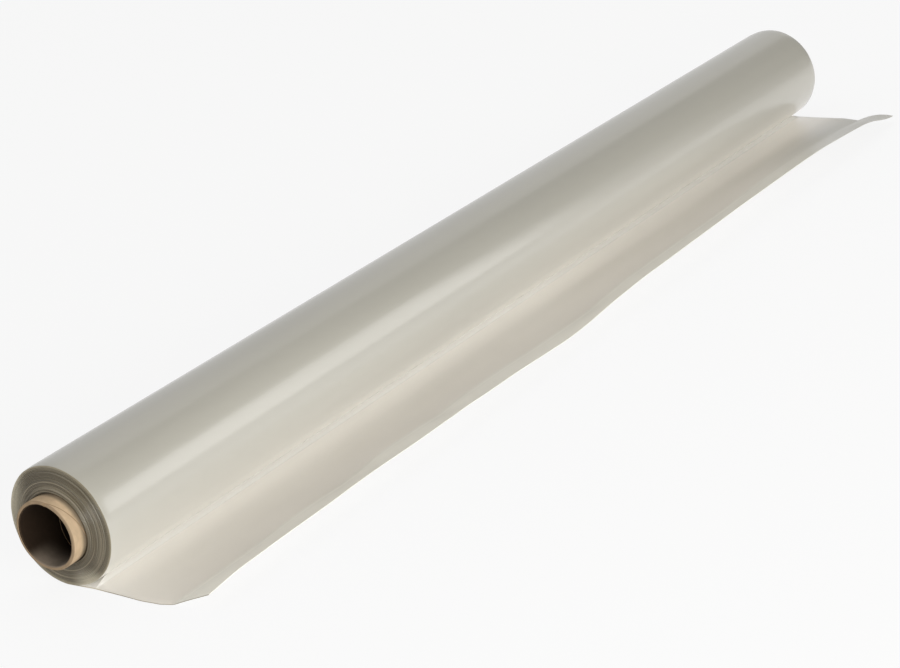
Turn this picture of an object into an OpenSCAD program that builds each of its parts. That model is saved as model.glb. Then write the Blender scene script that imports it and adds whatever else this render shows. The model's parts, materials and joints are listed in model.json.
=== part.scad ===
// A roll of plastic sheeting wound on a cardboard tube, lying on the floor with its free end drawn out.
// X runs along the roll, the free end lies towards -Y, and Z = 0 is the floor under the roll's flat spot.
// The sheeting is one long folded film, so its turns and its free end are one solid.

/* [Cardboard tube] */
// Bore of the tube, a 2 inch core
core_bore_d = 50.8; // [25:0.1:76.2]
// Wall of the tube
core_wall = 3.5; // [1.5:0.1:8]
// How far the tube stands out past the roll at each end
core_overhang = 18; // [6:1:60]

/* [Wound turns] */
// Width of the folded sheeting, which is the roll's length
sheet_w = 1200; // [300:10:2000]
// Outer diameter of the roll
roll_d = 101; // [75:0.5:200]
// Turns that can be counted at the end of the roll
turns = 21; // [4:1:40]
// Gap between the tube and the innermost turn
winding_gap = 0.3; // [0.1:0.05:1]
// Width of the flat spot pressed by the roll's weight
flat_spot_w = 12; // [4:0.5:20]
// Turns in a group whose edges lie nearly level at the end of the roll
group_turns = 6; // [2:1:12]
// How far a group of turns stands out past the group outside it
group_step = 0.9; // [0:0.1:3]
// How far each half turn stands out past the half turn outside it
edge_step = 0.06; // [0:0.01:0.1]

/* [Free end] */
// Width of the free end that lies on the floor before it starts to lift
floor_w = 45; // [20:1:80]
// Distance from the roll's axis to the crease of the free end
crease_y = 101; // [85:1:200]
// Width of the lip past the crease
lip_w = 38.5; // [10:0.5:80]

/* [Hidden] */

// Height of the crease and of the lip's edge at shares of the roll's length, from the near end
FREE_END = [
    [0.00, 0.0, 13.0],
    [0.05, 0.0, 16.0],
    [0.14, 2.5, 17.5],
    [0.24, 4.0, 17.5],
    [0.37, 3.5, 16.5],
    [0.44, 1.5, 13.5],
    [0.55, 5.5, 20.5],
    [0.68, 7.0, 22.5],
    [0.82, 10.5, 24.0],
    [0.89, 9.5, 21.5],
    [0.96, 6.0, 15.0],
    [1.00, 1.5, 6.0],
];
// Shares of the width at which the free end is drawn, first up to the crease and then across the lip
RISE_STEPS = [0, 0.25, 0.5, 0.75, 0.92];
LIP_STEPS = [0, 0.12, 0.4, 0.7, 1];
// Steps along the roll in which the free end is drawn
LENGTH_STEPS = 40;
// Half turns at the inner end of the film that lie level, because the film starts inside them
LEVEL_HALVES = 2;

roll_r = roll_d / 2;
core_r = core_bore_d / 2 + core_wall;
core_len = sheet_w + 2 * core_overhang;
inner_r = core_r + winding_gap;
pitch = (roll_r - inner_r) / turns;
flat_drop = roll_r - sqrt(roll_r ^ 2 - (flat_spot_w / 2) ^ 2);
axis_z = roll_r - flat_drop;
last_half = 2 * turns - 2;
$fn = 96;

function smooth(t) = t * t * (3 - 2 * t);

// Groups of turns that lie inside a half turn, where the far end (far = 1) has its groups one turn further in
function group_of(half, far) = floor((floor(half / 2) + floor(group_turns / 3) + far) / group_turns);

// How far a half turn stands out past the outermost turn, with half turns counted from the inner end of the film
function proud(half, far) =
    group_step * (group_of(last_half, far) - group_of(max(half, LEVEL_HALVES), far))
    + edge_step * (last_half - max(half, LEVEL_HALVES));

// Height of the crease (column 1) or of the lip's edge (column 2) at a share of the length
function height_at(share, column, row = 1) =
    share <= FREE_END[row][0] || row == len(FREE_END) - 1
        ? let (a = FREE_END[row - 1], b = FREE_END[row], t = (share - a[0]) / (b[0] - a[0]))
            a[column] + (b[column] - a[column]) * smooth(t)
        : height_at(share, column, row + 1);

// Underside of the free end across the roll, as [y, z], from the roll's axis to the lip's edge
function free_end_line(share) =
    let (crease_z = height_at(share, 1))
    let (lip_angle = asin((height_at(share, 2) - crease_z) / lip_w))
    concat(
        [[0, 0]],
        [for (t = RISE_STEPS) [-floor_w - (crease_y - floor_w) * t, crease_z * smooth(t)]],
        [for (t = LIP_STEPS) [-crease_y - lip_w * t * cos(lip_angle), crease_z + lip_w * t * sin(lip_angle)]]
    );

module core_tube() {
    color("burlywood")
        translate([-core_len / 2, 0, axis_z])
            rotate([0, 90, 0])
                difference() {
                    cylinder(d = core_bore_d + 2 * core_wall, h = core_len);
                    translate([0, 0, -1]) cylinder(d = core_bore_d, h = core_len + 2);
                }
}

// Half of a pile of turns, turned about its own centre, with an edge of its own for each turn
module half_turns(first_r, count, first_half) {
    reach = sheet_w / 2;
    far_side = [
        for (i = [0 : count - 1], side = [0, 1])
            [first_r + pitch * (i + side), reach + proud(first_half + 2 * i, 1)]
    ];
    near_side = [
        for (i = [count - 1 : -1 : 0], side = [1, 0])
            [first_r + pitch * (i + side), -reach - proud(first_half + 2 * i, 0)]
    ];
    rotate_extrude(angle = 180) polygon(concat(far_side, near_side));
}

// The turns are a spiral of half turns about two centres, one half pitch apart
module wound_turns() {
    difference() {
        union() {
            translate([0, 0, axis_z]) rotate([0, 90, 0]) half_turns(inner_r, turns, 0);
            translate([0, 0, axis_z + pitch / 2])
                rotate([0, 90, 0]) rotate([0, 0, 180]) half_turns(inner_r + pitch / 2, turns - 1, 1);
        }
        // The floor cuts the turns off at Z = 0, which leaves the flat spot
        cut_len = sheet_w + 4 * (1 + max(proud(0, 0), proud(0, 1)));
        translate([-cut_len / 2, -roll_r, -roll_r]) cube([cut_len, roll_d, roll_r]);
    }
}

// The last turn runs out from under the roll, lies on the floor and lifts to a creased lip
module free_end() {
    lines = [for (i = [0 : LENGTH_STEPS]) free_end_line(i / LENGTH_STEPS)];
    n = len(lines[0]);
    ring = 2 * n;
    points = [
        for (i = [0 : LENGTH_STEPS], j = [0 : ring - 1])
            let (x = sheet_w * (i / LENGTH_STEPS - 0.5))
            let (p = j < n ? lines[i][j] : lines[i][ring - 1 - j])
            [x, p[0], j < n ? p[1] : p[1] + pitch]
    ];
    sides = [
        for (i = [0 : LENGTH_STEPS - 1], j = [0 : ring - 1])
            let (a = i * ring + j, b = i * ring + (j + 1) % ring)
            each [[a, b, b + ring], [a, b + ring, a + ring]]
    ];
    near_cap = [for (j = [0 : n - 2]) each [[j, ring - 1 - j, ring - 2 - j], [j, ring - 2 - j, j + 1]]];
    last = LENGTH_STEPS * ring;
    far_cap = [for (f = near_cap) [last + f[0], last + f[2], last + f[1]]];
    polyhedron(points, concat(sides, near_cap, far_cap));
}

module sheeting() {
    color("gainsboro") {
        wound_turns();
        free_end();
    }
}

core_tube();
sheeting();
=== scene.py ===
"""A roll of milky plastic sheeting on a cardboard tube, with its free end drawn out over the floor.

Lengths are in metres, in the frame's own axes: X runs along the roll from its near end to its far end, the
free end lies towards -Y, and Z = 0 is the floor.
"""

from __future__ import annotations

import json
import logging
import math
from dataclasses import dataclass, field

import bmesh
import bpy
import numpy as np
from mathutils import Matrix, Vector


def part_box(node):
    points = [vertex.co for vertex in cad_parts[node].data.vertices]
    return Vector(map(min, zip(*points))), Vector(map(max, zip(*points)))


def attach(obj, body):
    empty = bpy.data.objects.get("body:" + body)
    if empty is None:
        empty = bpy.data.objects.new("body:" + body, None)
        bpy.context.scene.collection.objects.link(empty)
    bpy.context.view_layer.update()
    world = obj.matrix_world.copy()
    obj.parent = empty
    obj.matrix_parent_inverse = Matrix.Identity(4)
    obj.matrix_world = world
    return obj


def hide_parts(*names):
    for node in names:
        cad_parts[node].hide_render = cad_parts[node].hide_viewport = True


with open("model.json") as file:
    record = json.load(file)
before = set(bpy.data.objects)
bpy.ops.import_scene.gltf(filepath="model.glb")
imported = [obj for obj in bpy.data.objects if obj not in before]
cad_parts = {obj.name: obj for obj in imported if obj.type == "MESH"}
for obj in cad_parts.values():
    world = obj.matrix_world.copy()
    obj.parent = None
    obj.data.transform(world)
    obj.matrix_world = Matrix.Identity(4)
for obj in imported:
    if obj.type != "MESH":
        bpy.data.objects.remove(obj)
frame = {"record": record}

MM = 0.001
# Values between which nearly all of a noise texture lies
NOISE_LOW = 0.3
NOISE_HIGH = 0.7
log = logging.getLogger("plastic_sheeting")

Colour = tuple[float, float, float]
Place = tuple[float, float, float]
# Two values of a number, between which a share eases from 0 to 1
Span = tuple[float, float]
# Points of a line, each as a place and the value there
Line = tuple[tuple[float, float], ...]
# Width, swell and depth of the points round the film's section
Section = tuple[np.ndarray, np.ndarray, np.ndarray]


class Number:
    """A number in a node tree. Each sum, product or function of it adds one Math node."""

    def __init__(self, sketch: NodeSketch, socket: bpy.types.NodeSocket) -> None:
        """Takes the sketch of the tree and the socket that gives the number."""
        self.sketch = sketch
        self.socket = socket

    def step(self, operation: str, *others: Number | float) -> Number:
        """Adds one Math node.

        Args:
            operation: The node's operation.
            others: The second and third number that it takes, where it takes them.

        Returns:
            The number that the node gives.
        """
        node = self.sketch.add("ShaderNodeMath", dict(enumerate((self, *others))), operation=operation)
        return Number(self.sketch, node.outputs[0])

    def __add__(self, other: Number | float) -> Number:
        """The sum."""
        return self.step("ADD", other)

    def __sub__(self, other: Number | float) -> Number:
        """The difference."""
        return self.step("SUBTRACT", other)

    def __mul__(self, other: Number | float) -> Number:
        """The product."""
        return self.step("MULTIPLY", other)

    def __truediv__(self, other: Number | float) -> Number:
        """The quotient."""
        return self.step("DIVIDE", other)

    def eased(self, low: float, high: float) -> Number:
        """A share from 0 to 1 that eases in and out between two values of the number.

        Args:
            low: The value up to which the share is 0.
            high: The value from which it is 1.

        Returns:
            The share.
        """
        node = self.sketch.add(
            "ShaderNodeMapRange",
            {"Value": self, "From Min": low, "From Max": high},
            interpolation_type="SMOOTHSTEP",
        )
        return Number(self.sketch, node.outputs["Result"])


class NodeSketch:
    """A node tree of any kind that is drawn by short calls."""

    def __init__(self, tree: bpy.types.NodeTree) -> None:
        """Takes the tree that the calls draw in."""
        self.tree = tree

    def add(self, kind: str, inputs: dict | None = None, **settings: object) -> bpy.types.Node:
        """Adds a node.

        Args:
            kind: The node's type name.
            inputs: Values, numbers or sockets, by the name or the index of the input that they go to.
            settings: The node's own properties.

        Returns:
            The new node.
        """
        node = self.tree.nodes.new(kind)
        for name, value in settings.items():
            setattr(node, name, value)
        for key, value in (inputs or {}).items():
            self.join(value, node.inputs[key])
        return node

    def join(self, value: object, socket: bpy.types.NodeSocket) -> None:
        """Gives an input its value, or links it where the value is a number or a socket of the tree."""
        source = value.socket if isinstance(value, Number) else value
        if isinstance(source, bpy.types.NodeSocket):
            self.tree.links.new(source, socket)
        else:
            socket.default_value = source

    def number(self, socket: bpy.types.NodeSocket) -> Number:
        """The number that a socket gives."""
        return Number(self, socket)

    def mixed(
        self, share: Number | float, first: object, second: object, blend: str = "MIX"
    ) -> bpy.types.NodeSocket:
        """Mixes two colours.

        Args:
            share: How much of the second colour shows.
            first: The first colour, or a socket that gives it.
            second: The second colour, or a socket that gives it.
            blend: How the second colour is laid over the first.

        Returns:
            The socket of the mixed colour.
        """
        node = self.add("ShaderNodeMix", data_type="RGBA", blend_type=blend)
        sockets = {socket.identifier: socket for socket in node.inputs}
        self.join(share, sockets["Factor_Float"])
        self.join(first, sockets["A_Color"])
        self.join(second, sockets["B_Color"])
        return next(socket for socket in node.outputs if socket.identifier == "Result_Color")

    def attribute(self, name: str) -> Number:
        """The number that the mesh holds under a name."""
        return self.number(self.add("ShaderNodeAttribute", attribute_name=name).outputs["Fac"])

    def grey(self, number: Number) -> bpy.types.NodeSocket:
        """A grey as bright as a number."""
        return self.add("ShaderNodeCombineColor", {0: number, 1: number, 2: number}).outputs[0]

    def put_out(self, geometry: bpy.types.NodeSocket, material: bpy.types.NodeSocket) -> None:
        """Ends a geometry tree, with its instances made real and dressed.

        Args:
            geometry: The finished geometry.
            material: The input of the tree that holds its material.
        """
        real = self.add("GeometryNodeRealizeInstances", {"Geometry": geometry})
        dressed = self.add("GeometryNodeSetMaterial", {"Geometry": real.outputs[0], "Material": material})
        self.add("NodeGroupOutput", {"Geometry": dressed.outputs[0]})


def opaque(colour: Colour) -> tuple[float, float, float, float]:
    """The colour with full opacity, as a colour socket takes it."""
    return (*colour, 1.0)


def smooth(share: np.ndarray | float) -> np.ndarray | float:
    """Eases a share from 0 to 1 in and out."""
    share = np.clip(share, 0.0, 1.0)
    return share * share * (3.0 - 2.0 * share)


def new_piece(name: str, mesh: bpy.types.Mesh) -> bpy.types.Object:
    """Puts a mesh in the scene as an object at the origin.

    Args:
        name: The name of the piece.
        mesh: Its mesh, in the frame's own axes.

    Returns:
        The new object.
    """
    piece = bpy.data.objects.new(name, mesh)
    bpy.context.scene.collection.objects.link(piece)
    return piece


def new_finish(name: str) -> tuple[bpy.types.Material, NodeSketch, bpy.types.Node]:
    """Starts a material.

    Args:
        name: The name of the material.

    Returns:
        The material, the sketch of its tree and its shader.
    """
    material = bpy.data.materials.new(name)
    material.use_nodes = True
    return material, NodeSketch(material.node_tree), material.node_tree.nodes["Principled BSDF"]


def new_shape_tree(name: str, count: str, sizes: dict[str, float], material: str) -> bpy.types.NodeTree:
    """Starts a geometry node tree with named inputs.

    Args:
        name: The name of the tree.
        count: The name of the input that takes a whole number.
        sizes: The tree's sizes, by the names of the inputs that take them.
        material: The name of the input that takes the material.

    Returns:
        The tree, which puts out one geometry.
    """
    tree = bpy.data.node_groups.new(name, "GeometryNodeTree")
    kinds = {count: "Int", **dict.fromkeys(sizes, "Float"), material: "Material"}
    for label, kind in kinds.items():
        tree.interface.new_socket(label, in_out="INPUT", socket_type="NodeSocket" + kind)
    tree.interface.new_socket("Geometry", in_out="OUTPUT", socket_type="NodeSocketGeometry")
    return tree


def mesh_from_nodes(name: str, tree: bpy.types.NodeTree, values: dict[str, object]) -> bpy.types.Mesh:
    """Runs a geometry node tree and keeps its result as a plain mesh.

    Args:
        name: The name of the mesh.
        tree: The tree, with named inputs.
        values: The value of each input, by its name.

    Returns:
        The mesh, without the modifier that made it.
    """
    carrier = new_piece(name, bpy.data.meshes.new(name + "_seed"))
    modifier = carrier.modifiers.new("nodes", "NODES")
    modifier.node_group = tree
    for item in tree.interface.items_tree:
        if item.item_type == "SOCKET" and item.in_out == "INPUT" and item.name in values:
            modifier[item.identifier] = values[item.name]
    bpy.context.view_layer.update()
    evaluated = carrier.evaluated_get(bpy.context.evaluated_depsgraph_get())
    mesh = bpy.data.meshes.new_from_object(evaluated)
    mesh.name = name
    bpy.data.objects.remove(carrier)
    return mesh


@dataclass(frozen=True)
class RollSizes:
    """The sizes that the frame gives for the tube and the sheeting."""

    axis: float
    roll_r: float
    bore_r: float
    core_r: float
    core_half: float
    sheet_half: float = 0.600
    turns: int = 21
    winding_gap: float = 0.3 * MM
    flat_spot_w: float = 12.0 * MM

    @classmethod
    def from_frame(cls) -> RollSizes:
        """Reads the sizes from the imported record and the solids' boxes."""
        mounts = {mount["name"]: mount for mount in frame["record"]["mounts"]}
        bore = mounts["core_bore"]
        core_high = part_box("core_tube")[1]
        return cls(
            axis=bore["pos_m"][2],
            roll_r=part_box("sheeting")[1].y,
            bore_r=bore["dims"]["r_mm"] * MM,
            core_r=core_high.y,
            core_half=core_high.x,
        )

    @property
    def inner_r(self) -> float:
        """Radius of the innermost turn's inner face."""
        return self.core_r + self.winding_gap

    @property
    def pitch(self) -> float:
        """Distance from a turn to the next one, which is the thickness of the folded film."""
        return (self.roll_r - self.inner_r) / self.turns

    @property
    def flat_drop(self) -> float:
        """How far the flat spot lies inside the round roll."""
        return self.roll_r - math.sqrt(self.roll_r**2 - (self.flat_spot_w / 2) ** 2)


def make_uneven_group() -> bpy.types.NodeTree:
    """Builds the shader group that gives a soft, stretched unevenness between two values.

    Returns:
        The group, which the film and the cardboard both use.
    """
    tree = bpy.data.node_groups.new("unevenness", "ShaderNodeTree")
    face = tree.interface
    stretch = face.new_socket("Stretch", in_out="INPUT", socket_type="NodeSocketVector")
    stretch.default_value = (1.0, 1.0, 1.0)
    for name, default in (("Detail", 2.0), ("Low", 0.0), ("High", 1.0)):
        face.new_socket(name, in_out="INPUT", socket_type="NodeSocketFloat").default_value = default
    face.new_socket("Value", in_out="OUTPUT", socket_type="NodeSocketFloat")
    sketch = NodeSketch(tree)
    given = sketch.add("NodeGroupInput")
    place = sketch.add("ShaderNodeTexCoord")
    spread = sketch.add(
        "ShaderNodeVectorMath",
        {0: place.outputs["Object"], 1: given.outputs["Stretch"]},
        operation="MULTIPLY",
    )
    noise = sketch.add(
        "ShaderNodeTexNoise",
        {"Vector": spread.outputs[0], "Detail": given.outputs["Detail"], "Scale": 1.0},
    )
    ranged = sketch.add(
        "ShaderNodeMapRange",
        {
            "Value": noise.outputs[0],
            "From Min": NOISE_LOW,
            "From Max": NOISE_HIGH,
            "To Min": given.outputs["Low"],
            "To Max": given.outputs["High"],
        },
    )
    sketch.add("NodeGroupOutput", {"Value": ranged.outputs["Result"]})
    return tree


@dataclass(frozen=True)
class UnevenLook:
    """One use of the unevenness group in a material."""

    stretch: tuple[float, float, float]
    low: float
    high: float
    detail: float = 2.0

    def place(self, sketch: NodeSketch, group: bpy.types.NodeTree) -> Number:
        """Adds the group to a material.

        Args:
            sketch: The material's tree.
            group: The unevenness group.

        Returns:
            The uneven number.
        """
        values = {"Stretch": self.stretch, "Detail": self.detail, "Low": self.low, "High": self.high}
        node = sketch.add("ShaderNodeGroup", node_tree=group)
        for name, value in values.items():
            node.inputs[name].default_value = value
        return sketch.number(node.outputs["Value"])


@dataclass(frozen=True)
class FilmFinish:
    """The milky, semi-gloss plastic film."""

    wound_colour: Colour = (0.440, 0.422, 0.362)
    # Painted light at the roll's foot and beside it, where the floor and the free end shine into the film
    bounce_light_colour: Colour = (0.970, 0.945, 0.895)
    free_colour: Colour = (0.920, 0.875, 0.790)
    # Painted shade inside the crease
    crease_shade_colour: Colour = (0.870, 0.815, 0.725)
    lip_colour: Colour = (0.940, 0.915, 0.825)
    # Painted shade on the far tip and in the hollow beside the roll, where the film is also more matt
    matt_shade_colour: Colour = (0.600, 0.580, 0.520)
    # Values of past_crease over which the free end takes the painted shade of the crease, and then the lip's
    # colour
    crease_span: Span = (-1.0, -0.1)
    lip_span: Span = (-0.05, 0.05)
    # Colours of the turns' edges: the film's own olive tone, darkened with painted shade for the gaps between
    # the turns, and painted paler on the outer turns where light catches them
    edge_outer: Colour = (0.310, 0.270, 0.185)
    edge_inner: Colour = (0.108, 0.088, 0.053)
    edge_pale: Colour = (0.260, 0.222, 0.155)
    # Laps over which the edges' colour goes from the outer turns' to the inner turns'
    edge_laps: Span = (0.5, 4.0)
    # How fast the noise of the edges' bands runs through the laps, and its values over which a band gets pale
    band_rate: float = 0.22
    band_span: Span = (0.46, 0.70)
    # Painted light: the glow of the edges where light shines through the outer turns
    glow_colour: Colour = (0.620, 0.570, 0.440)
    # How much painted glow the edges take on the side away from the free end, and where, in radii from the
    # roll's axis
    glow_share: float = 0.75
    side_glow: Span = (0.45, 0.98)
    # Distance from the roll's bottom towards the free end around which the edges take painted glow too, and
    # the distances from there over which they do, in radii of the roll
    foot_glow_at: float = 0.42
    foot_glow: Span = (0.45, 0.05)
    # Laps over which the buried turns' faces take the edges' colours, and how much of them they take
    buried_laps: Span = (1.05, 1.2)
    buried_share: float = 0.75
    roughness: float = 0.32
    coat_weight: float = 0.6
    coat_roughness: float = 0.16
    ior: float = 1.5
    mottle: UnevenLook = UnevenLook((2.0, 24.0, 24.0), 0.96, 1.03, 1.0)
    haze: UnevenLook = UnevenLook((5.0, 40.0, 40.0), -0.03, 0.04, 1.0)
    # The ripples and the fine lines across the roll, with their heights in millimetres
    ripple: UnevenLook = UnevenLook((3.0, 30.0, 30.0), 0.0, 0.5, 1.5)
    draw_lines: UnevenLook = UnevenLook((700.0, 3.0, 3.0), 0.0, 0.001, 1.0)

    def build(self, group: bpy.types.NodeTree, sizes: RollSizes) -> bpy.types.Material:
        """Builds the material.

        Args:
            group: The unevenness group.
            sizes: The sizes of the roll.

        Returns:
            The material. It reads film_edge, laps, free_film, pale_film, dull_film and past_crease, which the
            mesh holds for each of its points.
        """
        material, sketch, shader = new_finish("milky_film")
        edge = sketch.attribute("film_edge")
        laps = sketch.attribute("laps")
        dull = sketch.attribute("dull_film")
        edged = edge.step("MAXIMUM", laps.eased(*self.buried_laps) * self.buried_share)
        plain = sketch.mixed(edged, self.face_colour(sketch, dull), self.edge_colour(sketch, laps, sizes))
        tone = self.mottle.place(sketch, group)
        toned = sketch.mixed(1.0, plain, sketch.grey(tone), "MULTIPLY")
        sketch.join(toned, shader.inputs["Base Color"])
        rough = self.haze.place(sketch, group) + self.roughness
        sketch.join(rough, shader.inputs["Roughness"])
        height = self.ripple.place(sketch, group) + self.draw_lines.place(sketch, group)
        bump = sketch.add("ShaderNodeBump", {"Height": height, "Strength": 1.0, "Distance": 1.0 * MM})
        sketch.join(bump.outputs["Normal"], shader.inputs["Normal"])
        glossy = edge.step("MAXIMUM", dull) * -1.0 + 1.0
        sketch.join(glossy * self.coat_weight, shader.inputs["Coat Weight"])
        shader.inputs["IOR"].default_value = self.ior
        shader.inputs["Coat Roughness"].default_value = self.coat_roughness
        return material

    def face_colour(self, sketch: NodeSketch, dull: Number) -> bpy.types.NodeSocket:
        """Adds the colour of the film's faces, with painted light at the roll's foot and painted shade at the
        crease, the far tip and the hollow.

        Args:
            sketch: The material's tree.
            dull: How matt the film is and how much painted shade it takes.

        Returns:
            The socket of the colour.
        """
        free = sketch.attribute("free_film")
        past_crease = sketch.attribute("past_crease")
        face = sketch.mixed(free, opaque(self.wound_colour), opaque(self.free_colour))
        # Painted light at the roll's foot and beside it on the free end
        bounce_lit = sketch.mixed(sketch.attribute("pale_film"), face, opaque(self.bounce_light_colour))
        # Painted shade inside the crease
        creased = sketch.mixed(past_crease.eased(*self.crease_span), bounce_lit, opaque(self.crease_shade_colour))
        lipped = sketch.mixed(past_crease.eased(*self.lip_span), creased, opaque(self.lip_colour))
        # Painted shade, with less gloss, on the far tip and in the hollow beside the roll
        return sketch.mixed(dull, lipped, opaque(self.matt_shade_colour))

    def edge_colour(self, sketch: NodeSketch, laps: Number, sizes: RollSizes) -> bpy.types.NodeSocket:
        """Adds the colour of the turns' edges, with its bands and with a painted glow in two places.

        Args:
            sketch: The material's tree.
            laps: The lap at which a point lies.
            sizes: The sizes of the roll.

        Returns:
            The socket of the colour.
        """
        # Edges painted paler on the outer turns and darker inwards, with painted shade of the gaps between
        # the turns
        rim = sketch.mixed(laps.eased(*self.edge_laps), opaque(self.edge_outer), opaque(self.edge_inner))
        noise = sketch.add(
            "ShaderNodeTexNoise",
            {"W": laps * self.band_rate, "Detail": 2.0},
            noise_dimensions="1D",
        )
        band = sketch.number(noise.outputs[0]).eased(*self.band_span)
        banded = sketch.mixed(band, rim, opaque(self.edge_pale))
        place = sketch.add("ShaderNodeSeparateXYZ", {0: sketch.add("ShaderNodeTexCoord").outputs["Object"]})
        side = sketch.number(place.outputs[1]) / sizes.roll_r
        up = sketch.number(place.outputs[2]) / sizes.roll_r
        # Painted glow on the side away from the free end and around the roll's foot
        lit_side = side.eased(*self.side_glow) * self.glow_share
        foot = side + self.foot_glow_at
        lit_foot = (foot * foot + up * up).step("SQRT").eased(*self.foot_glow)
        return sketch.mixed(lit_side.step("MAXIMUM", lit_foot), banded, opaque(self.glow_colour))


@dataclass(frozen=True)
class CardboardFinish:
    """The matt kraft board of the tube, with the helical seams of its plies."""

    paper_colour: Colour = (0.560, 0.415, 0.265)
    seam_colour: Colour = (0.330, 0.225, 0.130)
    cut_colour: Colour = (0.340, 0.245, 0.155)
    # Painted shade inside the bore, and painted light on its foot near the mouth
    bore_shade_colour: Colour = (0.022, 0.013, 0.007)
    bore_foot_light_colour: Colour = (0.230, 0.185, 0.140)
    # Painted shadow on the tube where it goes into the film
    contact_shadow_colour: Colour = (0.130, 0.105, 0.070)
    # Lengths from the tube's end over which painted shadow darkens it, where it goes into the film
    contact_shadow_span: Span = (8.0 * MM, 12.5 * MM)
    contact_shadow_share: float = 0.8
    # Lengths from the tube's end over which the colour of the cut sets in
    cut_span: Span = (1.1 * MM, 0.5 * MM)
    # Distances outside the bore over which the bore's painted shade sets in, on the inner edge of the cut
    bore_span: Span = (1.2 * MM, 0.6 * MM)
    # Length from the tube's end over which painted light reaches into the bore, and the heights over which
    # its foot is painted lit, in radii of the bore from its axis
    mouth: float = 30.0 * MM
    foot_span: Span = (-0.55, -1.0)
    roughness: float = 0.85
    specular: float = 0.15
    fibres: UnevenLook = UnevenLook((260.0, 160.0, 160.0), 0.90, 1.07, 4.0)
    stains: UnevenLook = UnevenLook((25.0, 30.0, 30.0), 0.92, 1.05)
    # Length along the tube of one turn of a seam, half the seam's width, and the share of it that is dark
    seam_lead: float = 62.0 * MM
    seam_half: float = 0.6 * MM
    seam_core: float = 0.3
    # Thickness of a ply, the share of it that is a line on each side, and how dark that line is
    ply_w: float = 0.5 * MM
    ply_line: float = 0.12
    ply_mark: float = 0.5
    # Depth of the seams and the plies' lines against the fibres, and how strong and high their bump is
    mark_depth: float = 0.6
    bump_strength: float = 0.6
    bump_height: float = 0.25 * MM

    def build(self, group: bpy.types.NodeTree, sizes: RollSizes) -> bpy.types.Material:
        """Builds the material.

        Args:
            group: The unevenness group.
            sizes: The sizes of the tube.

        Returns:
            The material.
        """
        material, sketch, shader = new_finish("kraft_board")
        place = sketch.add("ShaderNodeSeparateXYZ", {0: sketch.add("ShaderNodeTexCoord").outputs["Object"]})
        along = sketch.number(place.outputs[0])
        side = sketch.number(place.outputs[1])
        up = sketch.number(place.outputs[2]) - sizes.axis
        radius = (side * side + up * up).step("SQRT")
        from_end = along.step("ABSOLUTE") * -1.0 + sizes.core_half
        turned = side.step("ARCTAN2", up) / (2 * math.pi)
        seam = (along / self.seam_lead + turned).step("PINGPONG", 0.5)
        seam_share = self.seam_half / self.seam_lead
        seam_mark = seam.eased(seam_share, self.seam_core * seam_share)
        cut = from_end.eased(*self.cut_span)
        ply = (radius / self.ply_w).step("PINGPONG", 0.5).eased(self.ply_line, 0.0)
        mark = seam_mark.step("MAXIMUM", ply * cut * self.ply_mark)
        # Painted light on the bore's foot near the mouth, over the bore's painted shade
        foot = (up / sizes.bore_r).eased(*self.foot_span) * from_end.eased(self.mouth, 0.0)
        bore = sketch.mixed(foot, opaque(self.bore_shade_colour), opaque(self.bore_foot_light_colour))
        sawn = sketch.mixed(cut, opaque(self.paper_colour), opaque(self.cut_colour))
        # Painted shadow where the tube goes into the film
        hidden = from_end.eased(*self.contact_shadow_span) * self.contact_shadow_share
        shadowed = sketch.mixed(hidden, sawn, opaque(self.contact_shadow_colour))
        board = sketch.mixed((radius - sizes.bore_r).eased(*self.bore_span), shadowed, bore)
        paper = sketch.mixed(mark, board, opaque(self.seam_colour))
        fibres = self.fibres.place(sketch, group)
        tone = fibres * self.stains.place(sketch, group)
        toned = sketch.mixed(1.0, paper, sketch.grey(tone), "MULTIPLY")
        sketch.join(toned, shader.inputs["Base Color"])
        shader.inputs["Roughness"].default_value = self.roughness
        shader.inputs["Specular IOR Level"].default_value = self.specular
        height = fibres - mark * self.mark_depth
        bump = sketch.add(
            "ShaderNodeBump",
            {"Height": height, "Strength": self.bump_strength, "Distance": self.bump_height},
        )
        sketch.join(bump.outputs["Normal"], shader.inputs["Normal"])
        return material


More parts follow.
